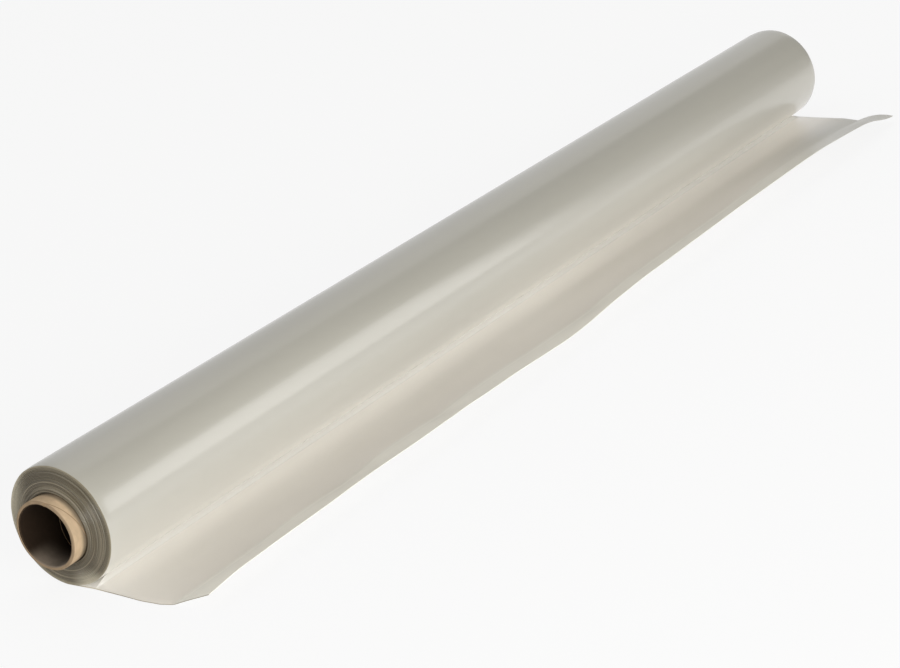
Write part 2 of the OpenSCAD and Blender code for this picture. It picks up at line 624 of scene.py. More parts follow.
@dataclass
class CoreTube:
    """The cardboard tube, whose plies were wound in a helix and cut to length."""

    sizes: RollSizes
    around: int = 160
    round_off: float = 1.0 * MM
    rounding_steps: int = 5
    # How uneven the cut ends are, and how fine and detailed the noise is that makes them so
    wobble: float = 0.25 * MM
    wobble_scale: float = 45.0
    wobble_detail: float = 3.0

    def tree_sizes(self) -> dict[str, float]:
        """The sizes that the node tree takes, by the names of its inputs."""
        sizes = self.sizes
        return {
            "Middle Radius": (sizes.bore_r + sizes.core_r) / 2,
            "Wall": sizes.core_r - sizes.bore_r,
            "Length": 2 * sizes.core_half - self.wobble,
            "Axis Height": sizes.axis,
            "Round Off": self.round_off,
            "Wobble": self.wobble,
        }

    def make_tree(self) -> bpy.types.NodeTree:
        """Builds the nodes that sweep the wall's section round a circle and leave the cut ends uneven."""
        tree = new_shape_tree("wound_tube", "Around", self.tree_sizes(), "Board")
        sketch = NodeSketch(tree)
        given = sketch.add("NodeGroupInput").outputs
        ring = sketch.add(
            "GeometryNodeCurvePrimitiveCircle",
            {"Resolution": given["Around"], "Radius": given["Middle Radius"]},
        )
        section = sketch.add(
            "GeometryNodeCurvePrimitiveQuadrilateral",
            {"Width": given["Wall"], "Height": given["Length"]},
        )
        rounded = sketch.add(
            "GeometryNodeFilletCurve",
            {"Curve": section.outputs[0], "Radius": given["Round Off"], "Count": self.rounding_steps},
            mode="POLY",
        )
        wall = sketch.add(
            "GeometryNodeCurveToMesh",
            {"Curve": ring.outputs[0], "Profile Curve": rounded.outputs[0]},
        )
        centre = sketch.add("ShaderNodeCombineXYZ", {2: given["Axis Height"]})
        on_side = (0.0, math.pi / 2, 0.0)
        laid = sketch.add(
            "GeometryNodeTransform",
            {"Geometry": wall.outputs[0], "Translation": centre.outputs[0], "Rotation": on_side},
        )
        place = sketch.add("GeometryNodeInputPosition").outputs[0]
        noise = sketch.add(
            "ShaderNodeTexNoise",
            {"Vector": place, "Scale": self.wobble_scale, "Detail": self.wobble_detail},
        )
        uneven = (sketch.number(noise.outputs[0]) - 0.5) * given["Wobble"] * 2.0
        shift = sketch.add("ShaderNodeCombineXYZ", {0: uneven})
        cut = sketch.add("GeometryNodeSetPosition", {"Geometry": laid.outputs[0], "Offset": shift.outputs[0]})
        sketch.put_out(cut.outputs[0], given["Board"])
        return tree

    def build(self, board: bpy.types.Material) -> bpy.types.Object:
        """Builds the tube.

        Args:
            board: Its material.

        Returns:
            The tube, which stands for the solid of the same name.
        """
        values = {"Around": self.around, **self.tree_sizes(), "Board": board}
        mesh = mesh_from_nodes("cardboard_tube", self.make_tree(), values)
        mesh.shade_smooth()
        tube = new_piece("cardboard_tube", mesh)
        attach(tube, "root")
        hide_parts("core_tube")
        return tube


@dataclass(frozen=True)
class StripSection:
    """Section across the film: a flat strip with a half round along each edge.

    Its points go round from the outer face at the near edge, over that edge to the inner face, along it to
    the far edge, and back along the outer face.
    """

    edge_steps: int = 5
    # Swell from which a point counts fully as the film's edge
    edge_swell: float = 0.3

    @property
    def corner_points(self) -> int:
        """Points round one edge, with both of its corners."""
        return self.edge_steps + 1

    def points(self, spans: int) -> Section:
        """Gives the section's points where each face is drawn in equal spans.

        Args:
            spans: Spans of a face from edge to edge.

        Returns:
            Place along the film's width from -1 to 1, swell of the edge from 0 to 1, and depth from the inner
            face, -1, to the outer one, 1.
        """
        turn = np.linspace(0.0, math.pi, self.corner_points)
        between = np.linspace(-1.0, 1.0, spans + 1)[1:-1]
        edge = np.ones(self.corner_points)
        flat = np.zeros(spans - 1)
        width = np.concatenate([-edge, between, edge, between[::-1]])
        swell = np.concatenate([np.sin(turn), flat, np.sin(turn), flat])
        depth = np.concatenate([np.cos(turn), flat - 1.0, -np.cos(turn), flat + 1.0])
        return width, np.where(np.isclose(swell, 0.0), 0.0, swell), depth


@dataclass
class WoundTurns:
    """The turns under the last one: a strip of film wound in a spiral of half turns."""

    sizes: RollSizes
    section: StripSection
    first_lap: float = 1.04
    steps_per_lap: int = 80
    # Laps over which the film's inner end tapers
    start_taper: float = 0.08
    group_turns: float = 6.0
    group_step: float = 0.9 * MM
    # Share of a group of turns after which its edges pass over to the next group's
    group_ease: float = 0.96
    edge_step: float = 0.12 * MM
    # How far the edges wander, how fast their noise runs through the laps, and where the far end's starts
    edge_wander: float = 0.30 * MM
    wander_rate: float = 1.9
    wander_far: float = 40.0
    # Height of the buried turns' soft ridges, their number in a turn, and how far they shift from lap to lap
    flats: float = 0.10 * MM
    flat_count: float = 7.0
    flat_shift: float = 0.6
    # Height of the slack pocket, its place round the roll, how narrow it is, and in how many inner laps it is
    slack: float = 1.3 * MM
    slack_turn: float = math.radians(292.0)
    slack_narrow: float = 9.0
    slack_laps: float = 7.0
    # Distance under which two points are one
    same_point: float = 0.001 * MM

    @property
    def last_lap(self) -> float:
        """Laps from the outer end of the winding to the inner end of the film, at the top of the tube."""
        return self.sizes.turns - 0.5

    @property
    def flat_keep(self) -> float:
        """Share of its depth that a turn keeps over the flat spot, which fades out towards the tube."""
        sizes = self.sizes
        return 1.0 - sizes.flat_drop / (sizes.roll_r - sizes.inner_r)

    def tree_sizes(self) -> dict[str, float]:
        """The sizes that the node tree takes, by the names of its inputs."""
        sizes = self.sizes
        return {
            "First Lap": self.first_lap,
            "Last Lap": self.last_lap,
            "Outer Radius": sizes.roll_r,
            "Pitch": sizes.pitch,
            "Axis Height": sizes.axis,
            "Half Length": sizes.sheet_half,
            "Group Turns": self.group_turns,
            "Group Step": self.group_step,
            "Edge Step": self.edge_step,
            "Edge Wander": self.edge_wander,
            "Flat Keep": self.flat_keep,
            "Flats": self.flats,
            "Slack": self.slack,
            "Slack Turn": self.slack_turn,
            "Slack Laps": self.slack_laps,
        }

    def radius_at(self, size: dict[str, Number], lap: Number, depth: Number) -> Number:
        """Adds the radius of the strip's points, with the slack pocket and the soft ridges.

        Args:
            size: The tree's inputs, by their names.
            lap: The lap at which a point lies.
            depth: How far it lies outside the middle of the film, in pitches.

        Returns:
            The radius about the centre of the point's half turn.
        """
        turned = lap * (2.0 * math.pi)
        half_turns = (lap * 2.0).step("FLOOR")
        wound = size["Outer Radius"] - (half_turns + 1.0) * size["Pitch"] * 0.5 + depth * size["Pitch"]
        inside = (size["Last Lap"] - lap) / size["Slack Laps"]
        loose = (inside * -1.0 + 1.0).step("MAXIMUM", 0.0)
        off_pocket = (turned - size["Slack Turn"]).step("COSINE") - 1.0
        pocket = (off_pocket * self.slack_narrow).step("EXPONENT")
        ridges = (turned * self.flat_count + lap * self.flat_shift).step("COSINE")
        return wound + loose * pocket * size["Slack"] + ridges * size["Flats"]

    def proud_at(self, sketch: NodeSketch, size: dict[str, Number], lap: Number, far_side: Number) -> Number:
        """Adds how far the strip's edges stand out past the roll's own length.

        Args:
            sketch: The tree's sketch.
            size: The tree's inputs, by their names.
            lap: The lap at which a point lies.
            far_side: 1 at the far edge and 0 at the near one.

        Returns:
            The distance.
        """
        grouped = (lap - far_side + 1.0) / size["Group Turns"]
        stepped = grouped.step("FLOOR") + grouped.step("FRACT").eased(self.group_ease, 1.0)
        noise = sketch.add(
            "ShaderNodeTexNoise",
            {"W": lap * self.wander_rate + far_side * self.wander_far, "Scale": 1.0, "Detail": 3.0},
            noise_dimensions="1D",
        )
        wander = (sketch.number(noise.outputs[0]) - 0.5) * size["Edge Wander"] * 2.0
        return stepped * size["Group Step"] + lap * size["Edge Step"] + wander

    def make_tree(self) -> bpy.types.NodeTree:
        """Builds the nodes that bend a grid into the wound strip."""
        inputs = self.tree_sizes()
        tree = new_shape_tree("wound_turns", "Steps", inputs, "Film")
        sketch = NodeSketch(tree)
        given = sketch.add("NodeGroupInput").outputs
        size = {name: sketch.number(given[name]) for name in inputs}
        corners = self.section.corner_points
        around = 2.0 * corners
        grid = sketch.add(
            "GeometryNodeMeshGrid",
            {"Size X": 1.0, "Size Y": 1.0, "Vertices X": given["Steps"], "Vertices Y": 2 * corners + 1},
        )
        place = sketch.add("ShaderNodeSeparateXYZ", {0: sketch.add("GeometryNodeInputPosition").outputs[0]})
        wound = sketch.number(place.outputs[0]) + 0.5
        lap = wound * (size["Last Lap"] - size["First Lap"]) + size["First Lap"]
        point = ((sketch.number(place.outputs[1]) + 0.5) * around).step("ROUND").step("MODULO", around)
        far_side = (point / corners).step("FLOOR")
        facing = far_side * 2.0 - 1.0
        round_edge = point.step("MODULO", corners) * (math.pi / self.section.edge_steps)
        swell = round_edge.step("SINE")
        start = (size["Last Lap"] - lap).eased(0.0, self.start_taper)
        depth = round_edge.step("COSINE") * facing * -0.5 * start
        shift = (lap * 2.0).step("FLOOR").step("MODULO", 2.0) * size["Pitch"] * 0.5
        radius = self.radius_at(size, lap, depth)
        proud = self.proud_at(sketch, size, lap, far_side)
        reach = size["Half Length"] + proud + (swell - 1.0) * size["Pitch"] * 0.5
        turned = lap * (2.0 * math.pi)
        level = (shift + size["Outer Radius"] - radius) * size["Flat Keep"]
        height = (size["Axis Height"] + shift - radius * turned.step("COSINE")).step("MAXIMUM", level)
        bent = sketch.add(
            "ShaderNodeCombineXYZ",
            {0: reach * facing, 1: radius * turned.step("SINE"), 2: height},
        )
        shape = grid.outputs["Mesh"]
        edge = swell.eased(0.0, self.section.edge_swell)
        for name, value in (("laps", lap), ("film_edge", edge), ("section_point", point)):
            held = sketch.add("GeometryNodeStoreNamedAttribute", data_type="FLOAT", domain="POINT")
            sketch.join(shape, held.inputs["Geometry"])
            sketch.join(name, held.inputs["Name"])
            sketch.join(value, held.inputs["Value"])
            shape = held.outputs[0]
        moved = sketch.add("GeometryNodeSetPosition", {"Geometry": shape, "Position": bent.outputs[0]})
        closed = sketch.add(
            "GeometryNodeMergeByDistance",
            {"Geometry": moved.outputs[0], "Distance": self.same_point},
        )
        sketch.put_out(closed.outputs[0], given["Film"])
        return tree

    def build(self, film: bpy.types.Material) -> bpy.types.Mesh:
        """Builds the wound strip as an open mesh, for the last turn to be joined to.

        Args:
            film: The film's material.

        Returns:
            The mesh, with the laps, film_edge and section_point of each point.
        """
        steps = round((self.last_lap - self.first_lap) * self.steps_per_lap)
        values = {"Steps": steps, **self.tree_sizes(), "Film": film}
        return mesh_from_nodes("wound_turns", self.make_tree(), values)


@dataclass
class FreeEnd:
    """The free end of the film: flat on the floor, then lifting to a crease with a lip past it."""

    sizes: RollSizes
    floor_w: float = 45.0 * MM
    crease_at: float = 101.0 * MM
    lip_w: float = 38.5 * MM
    crease_round: float = 2.0 * MM
    edge_thickness: float = 0.6 * MM
    # How far the film's near edge and its far edge stray along the roll, both in millimetres, by the distance
    # along the film
    near_drift: Line = ((22.0, 0.0), (50.0, 2.2), (72.0, 4.4), (90.0, 4.2), (101.0, 1.4), (118.0, 0.0))
    far_drift: Line = ((60.0, 2.0), (80.0, 0.0), (100.0, -6.0), (122.0, -3.0), (139.0, 0.0))
    # Distance along the film over which the drifts start, and share of half the width over which they fade
    drift_start: float = 30.0 * MM
    drift_fade: float = 0.10
    # Distance along the film at which it starts to get thinner, and the width over which it does
    thin_from: float = 8.0 * MM
    thin_w: float = 60.0 * MM
    # Distance along the film at which it starts to cling to the roll, the width over which that sets in, and
    # how far the film is sunk into the roll there
    cling_from: float = 8.0 * MM
    cling_w: float = 8.0 * MM
    cling: float = 0.25 * MM
    # Radius of the hollow in which the film rises to the roll, its distance along the film in radii of the
    # roll, and the length at each end over which it opens
    hollow_r: float = 3.0 * MM
    hollow_at: float = 0.55
    hollow_fade: float = 14.0 * MM
    # Width beside the roll over which the film is painted paler, with painted light that stands for light
    # shining through it
    bounce_light_w: float = 75.0 * MM
    # Width inside the crease over which painted shade makes the film darker
    darker_before_crease: float = 55.0 * MM
    # Sine of the steepest slope that the lip may have
    steepest: float = 0.9
    # Height of the crease over the floor, in millimetres, at shares of the roll's length from the near end
    crease_heights: Line = (
        (0.000, 0.0),
        (0.080, 0.0),
        (0.130, 2.8),
        (0.180, 0.3),
        (0.230, 5.0),
        (0.280, 3.6),
        (0.297, 1.2),
        (0.315, 4.4),
        (0.380, 4.0),
        (0.430, 1.8),
        (0.500, 0.2),
        (0.560, 6.2),
        (0.650, 7.0),
        (0.710, 6.5),
        (0.820, 10.8),
        (0.880, 10.0),
        (0.940, 7.5),
        (1.000, 1.0),
    )
    # Height of the lip's edge, in the same way
    edge_heights: Line = (
        (0.000, 13.0),
        (0.025, 15.8),
        (0.145, 17.4),
        (0.250, 17.5),
        (0.360, 16.4),
        (0.430, 13.5),
        (0.460, 14.5),
        (0.550, 20.4),
        (0.640, 21.8),
        (0.750, 23.2),
        (0.820, 24.1),
        (0.865, 23.5),
        (0.930, 19.4),
        (0.958, 16.4),
        (0.980, 9.1),
        (1.000, 5.6),
    )
    # How far the middle of the lip bows up over a straight line, in the same way
    lip_bows: Line = ((0.00, 0.0), (0.92, 0.0), (0.97, 2.6), (1.00, 3.7))
    # How many places are averaged to ease a line's corners, and how many to round the crease
    eased_places: int = 9
    rounded_places: int = 7

    def along_roll(self, line: Line, share: np.ndarray, ease: float = 0.012) -> np.ndarray:
        """Gives a height at shares of the length, with the corners of its line eased.

        Args:
            line: The line's points, as shares and millimetres.
            share: Shares of the roll's length.
            ease: The share of the length over which each corner is eased.

        Returns:
            The heights in metres.
        """
        shares, heights = np.array(line).T
        spread = np.linspace(-ease, ease, self.eased_places)
        samples = np.interp(share[..., None] + spread, shares, heights)
        return samples.mean(axis=-1) * MM

    def raw_underside(self, distance: np.ndarray, share: np.ndarray) -> tuple[np.ndarray, np.ndarray]:
        """Underside of the film with a sharp crease.

        Args:
            distance: Distance along the film from the bottom of the roll.
            share: Share of the roll's length.

        Returns:
            The distance from the roll's axis and the height.
        """
        crease = self.along_roll(self.crease_heights, share)
        rise = self.along_roll(self.edge_heights, share) - crease
        bow = self.along_roll(self.lip_bows, share)
        lift = smooth((distance - self.floor_w) / (self.crease_at - self.floor_w))
        past = np.clip((distance - self.crease_at) / self.lip_w, 0.0, None)
        slope = np.arcsin(np.clip(rise / self.lip_w, -self.steepest, self.steepest))
        out = np.minimum(distance, self.crease_at) + past * self.lip_w * np.cos(slope)
        arch = 4.0 * past * (1.0 - past)
        height = crease * lift + past * rise + bow * arch
        return out, height

    def underside(self, distance: np.ndarray, share: np.ndarray) -> tuple[np.ndarray, np.ndarray]:
        """Underside of the film with its crease rounded.

        Args:
            distance: Distance along the film from the bottom of the roll.
            share: Share of the roll's length.

        Returns:
            The Y and the Z of each point.
        """
        spread = np.linspace(-self.crease_round, self.crease_round, self.rounded_places)
        end = self.crease_at + self.lip_w
        inside = np.clip(np.minimum(distance, end - distance) / self.crease_round, 0.0, 1.0)
        samples = distance[..., None] + spread * inside[..., None]
        out, height = self.raw_underside(samples, np.broadcast_to(share[..., None], samples.shape))
        return -out.mean(axis=-1), height.mean(axis=-1)

    def drift(self, distance: np.ndarray, width: np.ndarray) -> np.ndarray:
        """How far the film's edges stray along the roll.

        Args:
            distance: Distance along the film of each ring, as a column.
            width: Place along the film's width of each point, from -1 to 1.

        Returns:
            The distances along the roll's axis.
        """
        near = np.interp(distance / MM, *np.array(self.near_drift).T) * MM
        far = np.interp(distance / MM, *np.array(self.far_drift).T) * MM
        start = smooth(distance / self.drift_start)
        fade = smooth(1.0 - (1.0 - np.abs(width)) / self.drift_fade)
        return start * fade * np.where(width < 0.0, -near, far)

    def thickness(self, distance: np.ndarray) -> np.ndarray:
        """Thickness of the folded film, which lies tighter away from the roll."""
        share = smooth((distance - self.thin_from) / self.thin_w)
        return self.sizes.pitch + (self.edge_thickness - self.sizes.pitch) * share

    def hollow(self, distance: np.ndarray) -> np.ndarray:
        """How far the film's upper face rises over a flat film, where it clings to the roll above it.

        Args:
            distance: Distance along the film from the bottom of the roll.

        Returns:
            The rises, which end in a small hollow between the roll and the floor.
        """
        sizes = self.sizes
        radius = sizes.roll_r - sizes.pitch / 2
        centre = sizes.axis + sizes.pitch / 2
        flat = self.thickness(distance)
        hollow_z = float(self.thickness(np.array(self.hollow_at * sizes.roll_r))) + self.hollow_r
        hollow_y = math.sqrt((radius + self.hollow_r) ** 2 - (centre - hollow_z) ** 2)
        touch = hollow_y * radius / (radius + self.hollow_r)
        under_roll = centre - np.sqrt(radius**2 - np.minimum(distance, touch) ** 2) + self.cling
        bend = hollow_z - np.sqrt(np.clip(self.hollow_r**2 - (distance - hollow_y) ** 2, 0.0, None))
        top = np.where(distance <= touch, under_roll, np.where(distance < hollow_y, bend, 0.0))
        return np.maximum(top - flat, 0.0) * smooth((distance - self.cling_from) / self.cling_w)

    def inside(self, width: np.ndarray) -> np.ndarray:
        """Share of the hollow that is there at places from -1 to 1 along the film's width."""
        return smooth(self.sizes.sheet_half * (1.0 - np.abs(width)) / self.hollow_fade)

    def distances(self) -> np.ndarray:
        """Distances along the film at which it is drawn, closer together where it bends most."""
        end = self.crease_at + self.lip_w
        half = self.edge_thickness / 2
        crease_start = self.crease_at - 2 * self.crease_round
        crease_stop = self.crease_at + 2 * self.crease_round
        hollow_start = 20.0 * MM
        hollow_stop = 28.0 * MM
        # Start and end of each stretch, and the distance from ring to ring in it
        stretches = (
            (4.0 * MM, hollow_start, 3.2 * MM),
            (hollow_start, hollow_stop, 0.35 * MM),
            (hollow_stop, self.floor_w, 3.4 * MM),
            (self.floor_w, crease_start, 3.2 * MM),
            (crease_start, crease_stop, 1.0 * MM),
            (crease_stop, end - 2.0 * half, 2.4 * MM),
        )
        drawn = [np.arange(start, stop, step) for start, stop, step in stretches]
        edge = end - half * (1.0 - np.sin(np.radians([0.0, 30.0, 60.0, 84.0])))
        return np.concatenate([*drawn, edge])

    def place(
        self, distance: np.ndarray, width: np.ndarray, depth: np.ndarray
    ) -> tuple[np.ndarray, np.ndarray]:
        """Places the section's points on the free end.

        Args:
            distance: Distance along the film of each ring, as a column.
            width: Place along the film's width of each point, from -1 to 1.
            depth: Depth of each point, where 1 is the underside.

        Returns:
            The Y and the Z of each point.
        """
        share = np.broadcast_to((width + 1.0) / 2.0, (len(distance), len(width)))
        at = np.broadcast_to(distance, share.shape)
        side, height = self.underside(at, share)
        ahead = 0.5 * MM
        ahead_side, ahead_height = self.underside(at + ahead, share)
        run = np.hypot(ahead_side - side, ahead_height - height)
        half = self.edge_thickness / 2
        rounding = np.clip((at - (self.crease_at + self.lip_w - half)) / half, 0.0, 1.0)
        thick = self.thickness(at)
        offset = thick * 0.5 * (1.0 - depth * np.sqrt(1.0 - rounding**2))
        offset = offset + self.hollow(at) * self.inside(width) * 0.5 * (1.0 - depth)
        normal_side = (ahead_height - height) / run
        normal_height = -(ahead_side - side) / run
        return side + normal_side * offset, height + normal_height * offset


@dataclass
class Sheeting:
    """The whole film, from its inner end on the tube to the edge of its free end, as one closed strip."""

    sizes: RollSizes
    section: StripSection = field(default_factory=StripSection)
    spans: int = 160
    steps_in_last_lap: int = 120
    # How far the last turn is drawn in at its rims, and the width over which it is
    rim_round: float = 0.45 * MM
    rim_w: float = 3.0 * MM
    # Places along the roll, from -1 to 1, between which the free end takes painted shade, with less gloss,
    # towards its far tip
    tip_span: Span = (0.50, 0.92)
    # Distance along the film at which the far tip starts to take painted shade, with less gloss, and the
    # width over which it does
    tip_shade_from: float = 50.0 * MM
    tip_shade_w: float = 40.0 * MM
    # How much painted shade, with less gloss, the film takes in the hollow beside the roll, which faces the
    # light, the distance along the film up to which it takes it, and the width over which that ends
    hollow_shade: float = 0.68
    hollow_from: float = 23.6 * MM
    hollow_w: float = 1.4 * MM
    # How much painted light the last turn takes at a lap, standing for the floor and the free end shining
    # into its foot
    bounce_light_by_lap: Line = (
        (0.66, 0.00),
        (0.70, 0.06),
        (0.75, 0.18),
        (0.80, 0.24),
        (0.84, 0.38),
        (0.87, 0.62),
        (0.90, 0.84),
        (0.95, 1.00),
    )
    # How fast the ridges rise from nothing on both sides of the roll's bottom
    ridge_rise: float = 1.4
    # Soft ridges along the roll: how many in a whole turn, height in millimetres, start and drift
    ridges: tuple[tuple[int, float, float, float], ...] = (
        (5, 0.100, 0.4, 0.9),
        (9, 0.050, 1.7, -0.6),
        (17, 0.020, 2.9, 1.3),
    )

    def __post_init__(self) -> None:
        """Makes the two parts that share the film's section."""
        self.turns = WoundTurns(self.sizes, self.section)
        self.free_end = FreeEnd(self.sizes)

    def film_length(self) -> float:
        """Length of the film in the model, unrolled."""
        middle_r = (self.sizes.roll_r + self.sizes.inner_r) / 2
        return self.turns.last_lap * 2 * math.pi * middle_r + self.free_end.crease_at + self.free_end.lip_w

    def unevenness(self, turned: np.ndarray, width: np.ndarray) -> np.ndarray:
        """How far the last turn stands off a true circle.

        Args:
            turned: Angle round the roll from its bottom, as a column.
            width: Place along the film's width, from -1 to 1.

        Returns:
            The distances, which fade out where the roll touches the floor.
        """
        free = smooth((1.0 - np.cos(turned)) * self.ridge_rise)
        total = np.zeros(np.broadcast_shapes(turned.shape, width.shape))
        for count, height, start, drift in self.ridges:
            total = total + height * MM * np.cos(count * turned + start + drift * width)
        past_rim = np.clip(1.0 - self.sizes.sheet_half * (1.0 - np.abs(width)) / self.rim_w, 0.0, 1.0)
        return free * (total - self.rim_round * past_rim**2)

    def last_lap_rings(self, section: Section) -> tuple[np.ndarray, np.ndarray]:
        """Places the rings of the last lap, from its inner end to the bottom of the roll.

        Args:
            section: The section's points.

        Returns:
            The rings' points and the lap at which each ring lies.
        """
        sizes = self.sizes
        width, swell, depth = section
        laps = np.linspace(self.turns.first_lap, 0.0, self.steps_in_last_lap + 1)[1:]
        lap = laps[:, None]
        half_turns = np.floor(2.0 * lap)
        shift = np.mod(half_turns, 2.0) * sizes.pitch / 2
        turned = lap * 2 * math.pi
        radius = sizes.roll_r - (half_turns + 1.0 - depth) * sizes.pitch / 2 + self.unevenness(turned, width)
        level = (shift + sizes.roll_r - radius) * self.turns.flat_keep
        height = np.maximum(sizes.axis + shift - radius * np.cos(turned), level)
        reach = sizes.sheet_half + self.turns.edge_step * lap - sizes.pitch / 2
        along = width * reach + np.sign(width) * swell * sizes.pitch / 2
        return np.stack([along, radius * np.sin(turned), height], axis=-1), laps

    def free_rings(self, section: Section) -> tuple[np.ndarray, np.ndarray]:
        """Places the rings of the free end.

        Args:
            section: The section's points.

        Returns:
            The rings' points and the distance along the film at which each ring lies.
        """
        width, swell, depth = section
        distances = self.free_end.distances()
        side, height = self.free_end.place(distances[:, None], width, depth)
        thick = self.free_end.thickness(distances)[:, None]
        along = width * (self.sizes.sheet_half - thick / 2) + np.sign(width) * swell * thick / 2
        along = along + self.free_end.drift(distances[:, None], width)
        return np.stack([along, side, height], axis=-1), distances

    def build(self, film: bpy.types.Material) -> bpy.types.Object:
        """Builds the film as one closed mesh.

        Args:
            film: Its material.

        Returns:
            The sheeting, which stands for the solid of the same name.
        """
        wound = self.turns.build(film)
        places, held = self.read_points(wound)
        section = self.section.points(self.spans)
        lap_rings, laps = self.last_lap_rings(section)
        free_rings, distances = self.free_rings(section)
        rings = np.concatenate([lap_rings, free_rings])
        points = np.concatenate([places, rings.reshape(-1, 3)])
        mesh = bpy.data.meshes.new("plastic_sheeting")
        mesh.from_pydata(points.tolist(), [], self.all_faces(wound, held, rings.shape[:2]))
        buried = {**held, "past_crease": np.full(len(places), -1.0)}
        for name, values in self.ring_values(section, laps, distances).items():
            wound_values = buried.get(name, np.zeros(len(places)))
            drawn_values = np.broadcast_to(values, rings.shape[:2]).ravel()
            self.hold(mesh, name, np.concatenate([wound_values, drawn_values]))
        self.face_outwards(mesh)
        mesh.materials.append(film)
        mesh.shade_smooth()
        bpy.data.meshes.remove(wound)
        sheeting = new_piece("plastic_sheeting", mesh)
        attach(sheeting, "root")
        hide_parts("sheeting")
        flat = (2 * self.sizes.sheet_half, self.film_length())
        return sheeting

    @staticmethod
    def read_points(wound: bpy.types.Mesh) -> tuple[np.ndarray, dict[str, np.ndarray]]:
        """Reads the points of the wound strip.

        Args:
            wound: The strip's mesh.

        Returns:
            The place of each point, and the numbers that the mesh holds for it, by their names.
        """
        count = len(wound.vertices)
        places = np.zeros(3 * count, np.float32)
        wound.vertices.foreach_get("co", places)
        held = {}
        for name in ("laps", "film_edge", "section_point"):
            held[name] = np.zeros(count, np.float32)
            wound.attributes[name].data.foreach_get("value", held[name])
        return places.reshape(-1, 3), held

    def ring_values(self, section: Section, laps: np.ndarray, distances: np.ndarray) -> dict[str, np.ndarray]:
        """Gives the numbers that the film's material reads, for the last lap's rings and the free end's.

        Args:
            section: The section's points.
            laps: The lap of each ring of the last lap.
            distances: The distance along the film of each ring of the free end.

        Returns:
            The numbers by their names: a row for each ring, or one row or one column for all of them.
        """
        width, swell, _ = section
        free_end = self.free_end
        free = np.repeat([0.0, 1.0], [len(laps), len(distances)])
        # Painted light at the roll's foot, by lap, and on the free end beside the roll
        foot = np.interp(laps, *np.array(self.bounce_light_by_lap).T)
        pale = np.concatenate([foot, 1.0 - smooth(distances / free_end.bounce_light_w)])
        # Painted shade, with less gloss, on the far tip and in the hollow beside the roll
        far_tip = smooth((width - self.tip_span[0]) / (self.tip_span[1] - self.tip_span[0]))
        tip = np.outer(smooth((distances - self.tip_shade_from) / self.tip_shade_w), far_tip)
        in_hollow = (1.0 - smooth((distances - self.hollow_from) / self.hollow_w)) * self.hollow_shade
        dull = np.maximum(tip, np.outer(in_hollow, free_end.inside(width)))
        before = (distances - free_end.crease_at) / free_end.darker_before_crease
        past = np.concatenate([np.full(len(laps), -1.0), np.clip(before, -1.0, 1.0)])[:, None]
        return {
            "laps": np.concatenate([laps, np.zeros(len(distances))])[:, None],
            "film_edge": smooth(swell / self.section.edge_swell),
            "free_film": free[:, None],
            "pale_film": pale[:, None],
            "dull_film": np.concatenate([np.zeros((len(laps), len(width))), dull]),
            "past_crease": np.where(past > 0.0, past * (1.0 - far_tip), past),
        }

    def all_faces(
        self, wound: bpy.types.Mesh, held: dict[str, np.ndarray], rings: tuple[int, int]
    ) -> list[list[int]]:
        """Faces of the whole strip, closed at both ends.

        Args:
            wound: The wound strip, whose points come first.
            held: The numbers that it holds for its points.
            rings: How many rings follow it, and how many points each of them has.

        Returns:
            The faces, as lists of points.
        """
        order = np.lexsort((held["section_point"], held["laps"])).tolist()
        round_section = 2 * self.section.corner_points
        numbers = np.arange(rings[0] * rings[1]).reshape(rings) + len(wound.vertices)
        around = np.roll(numbers, -1, axis=1)
        quads = np.stack([numbers[:-1], around[:-1], around[1:], numbers[1:]], axis=-1)
        faces = [list(polygon.vertices) for polygon in wound.polygons]
        faces += quads.reshape(-1, 4).tolist()
        faces += self.joining_faces(order[:round_section], numbers[0].tolist())
        faces += self.cap_faces(numbers[-1].tolist(), self.spans)
        faces += self.cap_faces(order[-round_section:], 1)
        return faces

    def joining_faces(self, wound: list[int], ring: list[int]) -> list[list[int]]:
        """Faces between the wound strip's first ring and the last lap's, which has more points.

        Args:
            wound: The wound strip's points, round its section.
            ring: The last lap's points, in the same order.

        Returns:
            The faces, as lists of points.
        """
        corners = self.section.corner_points
        far = corners + self.spans - 1
        faces = []
        for step in range(self.section.edge_steps):
            for near, drawn in ((step, step), (corners + step, far + step)):
                faces.append([wound[near], wound[near + 1], ring[drawn + 1], ring[drawn]])
        faces.append([wound[corners - 1], wound[corners]] + ring[corners - 1 : far + 1][::-1])
        faces.append([wound[-1], wound[0]] + [ring[0]] + ring[far + corners - 1 :][::-1])
        return faces

    def cap_faces(self, ring: list[int], spans: int) -> list[list[int]]:
        """Faces that close an end of the strip.

        Args:
            ring: The points round the section at that end.
            spans: Spans of a face from edge to edge.

        Returns:
            The faces, as lists of points.
        """
        corners = self.section.corner_points
        far = corners + spans - 1
        inner = ring[corners - 1 : far + 1]
        outer = [ring[0]] + ring[far + corners - 1 :][::-1]
        faces = [ring[:corners], ring[far : far + corners]]
        for step in range(spans):
            faces.append([inner[step], inner[step + 1], outer[step + 1], outer[step]])
        return faces

    @staticmethod
    def hold(mesh: bpy.types.Mesh, name: str, values: np.ndarray) -> None:
        """Keeps one number for each point of a mesh, for its material to read."""
        mesh.attributes.new(name, "FLOAT", "POINT").data.foreach_set("value", values.astype(np.float32))

    @staticmethod
    def face_outwards(mesh: bpy.types.Mesh) -> None:
        """Turns all the faces of a closed mesh outwards."""
        shape = bmesh.new()
        shape.from_mesh(mesh)
        bmesh.ops.recalc_face_normals(shape, faces=shape.faces)
        shape.to_mesh(mesh)
        shape.free()


